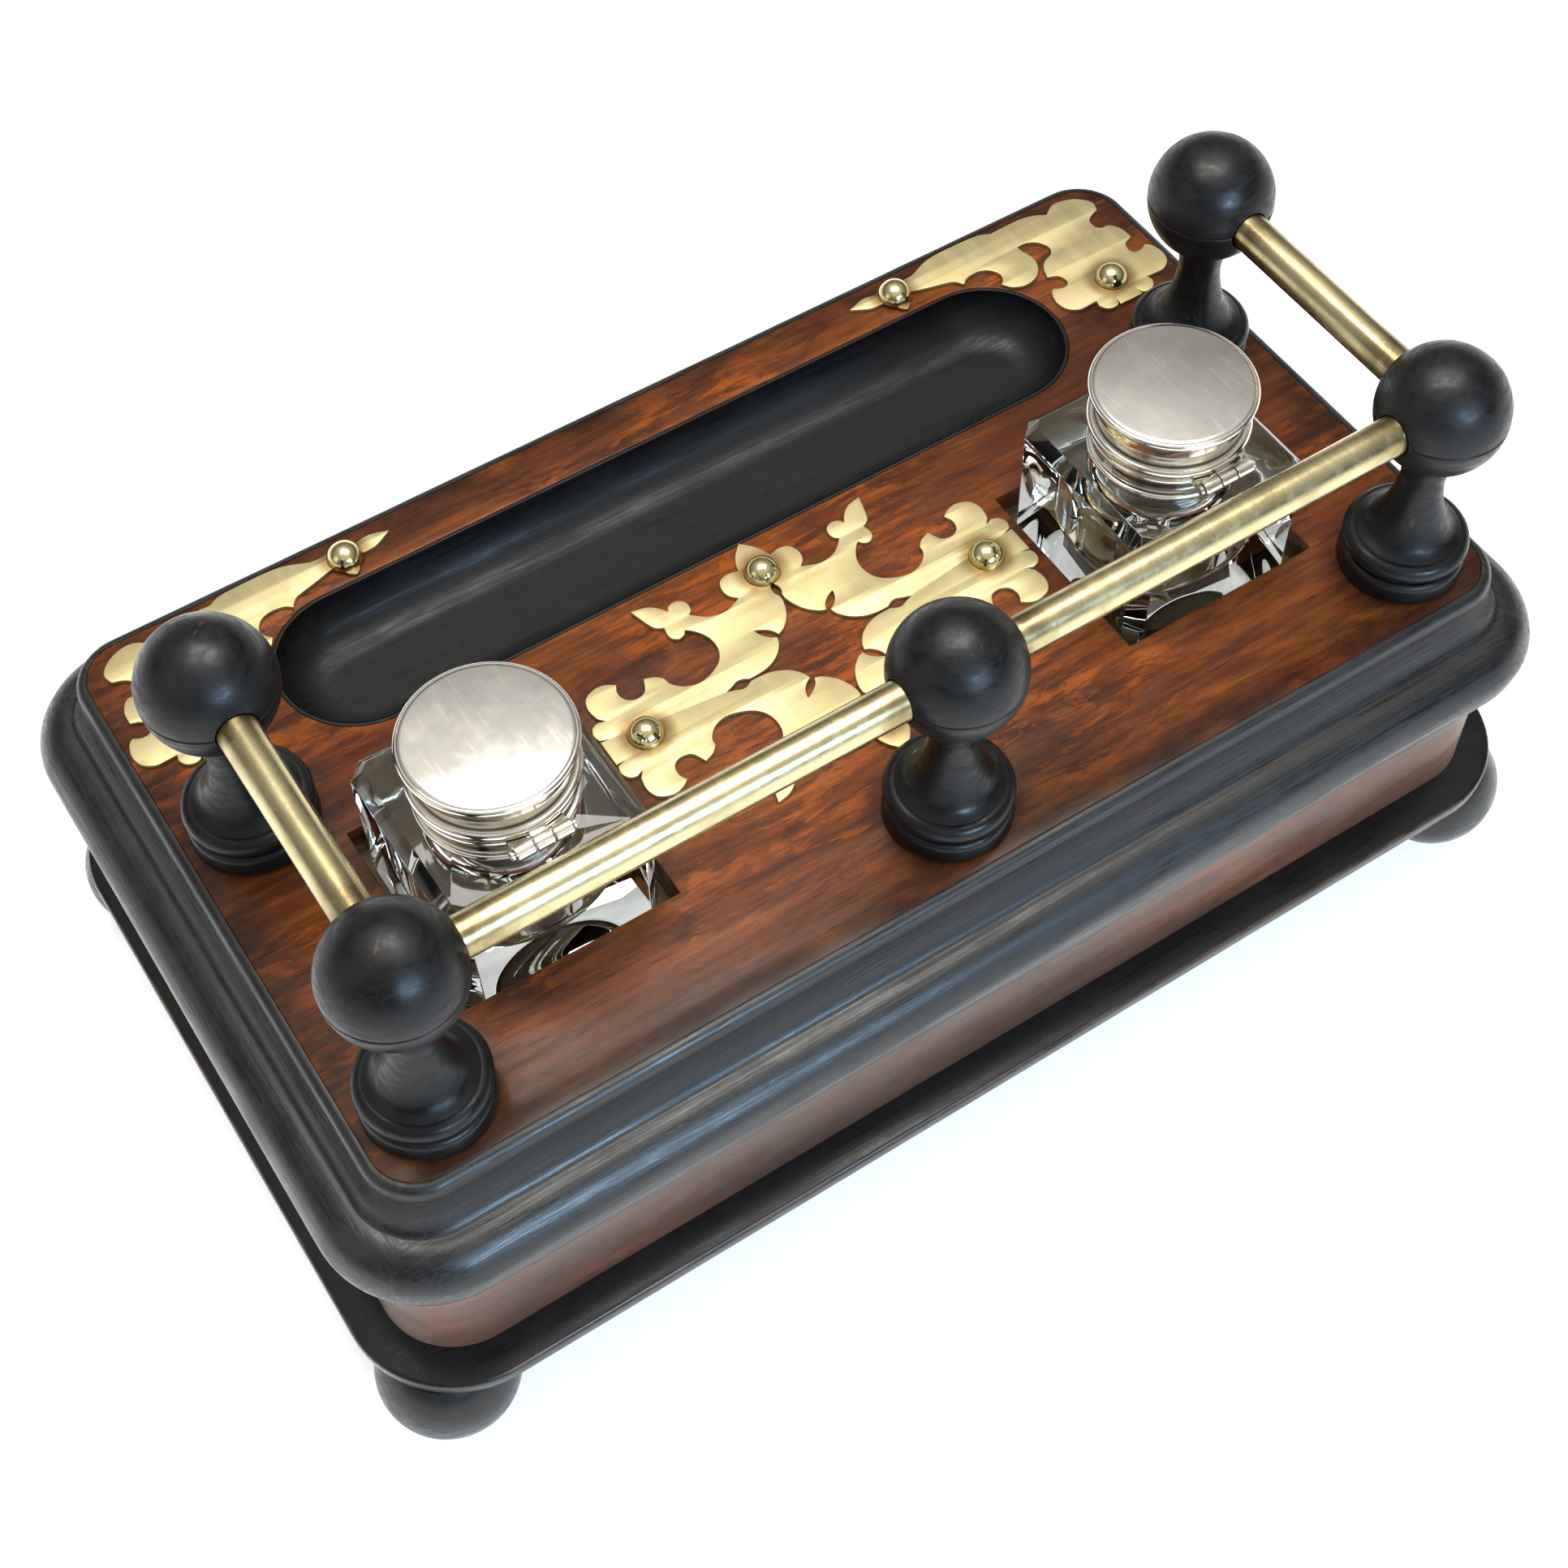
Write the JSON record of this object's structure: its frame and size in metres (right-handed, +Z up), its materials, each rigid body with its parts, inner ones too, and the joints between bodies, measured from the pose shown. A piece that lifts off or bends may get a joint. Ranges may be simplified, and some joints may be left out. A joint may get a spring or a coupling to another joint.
{
  "type": "desk stand with pen tray and ink bottles",
  "caption": "Walnut and black desk stand on ball feet with a pen tray, a railed gallery, brass strapwork and square lidded ink bottles that lift out of their wells.",
  "frame": {"origin": "on the floor under the middle of the stand, the middle of the bounding box's bottom", "axes": "+X along the stand to the right of someone who sits at the pen tray, +Y toward the railed back, +Z up"},
  "size_m": [0.3066, 0.1836, 0.1564],
  "materials": {
    "walnut": "french polished walnut, grain along the stand",
    "ebonised_wood": "ebonised turned and moulded wood, satin polish",
    "brass": "pale polished brass, lightly aged",
    "silver": "worn silver plate on brass, polished",
    "glass": "thick clear cut glass"
  },
  "bodies": {
    "stand": {"top_panel": "walnut", "pen_tray": "ebonised_wood", "bottle_well_left": "ebonised_wood", "bottle_well_right": "ebonised_wood", "moulding_back": "ebonised_wood", "moulding_front": "ebonised_wood", "moulding_left": "ebonised_wood", "moulding_right": "ebonised_wood", "frieze_back": "walnut", "frieze_front": "walnut", "frieze_left": "walnut", "frieze_right": "walnut", "base_board": "ebonised_wood", "foot_front_left": "ebonised_wood", "foot_front_right": "ebonised_wood", "foot_back_left": "ebonised_wood", "foot_back_right": "ebonised_wood", "post_front_left": "ebonised_wood", "post_front_right": "ebonised_wood", "post_back_left": "ebonised_wood", "post_back_middle": "ebonised_wood", "post_back_right": "ebonised_wood", "cap_front_left": "ebonised_wood", "cap_front_right": "ebonised_wood", "cap_back_left": "ebonised_wood", "cap_back_middle": "ebonised_wood", "cap_back_right": "ebonised_wood", "rail_left": "brass", "rail_right": "brass", "rail_back_left": "brass", "rail_back_right": "brass", "centre_mount": "brass", "corner_mount_left": "brass", "corner_mount_right": "brass", "centre_studs": "brass", "corner_studs_left": "brass", "corner_studs_right": "brass"},
    "ink_bottle_left": {"bottle_left": "glass", "collar_left": "silver", "hinge_pin_left": "silver"},
    "ink_bottle_right": {"bottle_right": "glass", "collar_right": "silver", "hinge_pin_right": "silver"},
    "cover_left": {"lid_left": "silver"},
    "cover_right": {"lid_right": "silver"}
  },
  "joints": [
    {"name": "bottle_left_lift", "type": "slide", "parent": "stand", "child": "ink_bottle_left", "axis": [0, 0, 1], "range_m": [0, 0.06]},
    {"name": "bottle_right_lift", "type": "slide", "parent": "stand", "child": "ink_bottle_right", "axis": [0, 0, 1], "range_m": [0, 0.06]},
    {"name": "lid_left_hinge", "type": "hinge", "parent": "ink_bottle_left", "child": "cover_left", "pos_m": [-0.0819, 0.0413, 0.12875], "axis": [-1, 0, 0], "range_deg": [0, 95]},
    {"name": "lid_right_hinge", "type": "hinge", "parent": "ink_bottle_right", "child": "cover_right", "pos_m": [0.0819, 0.0413, 0.12875], "axis": [-1, 0, 0], "range_deg": [0, 95]}
  ]
}
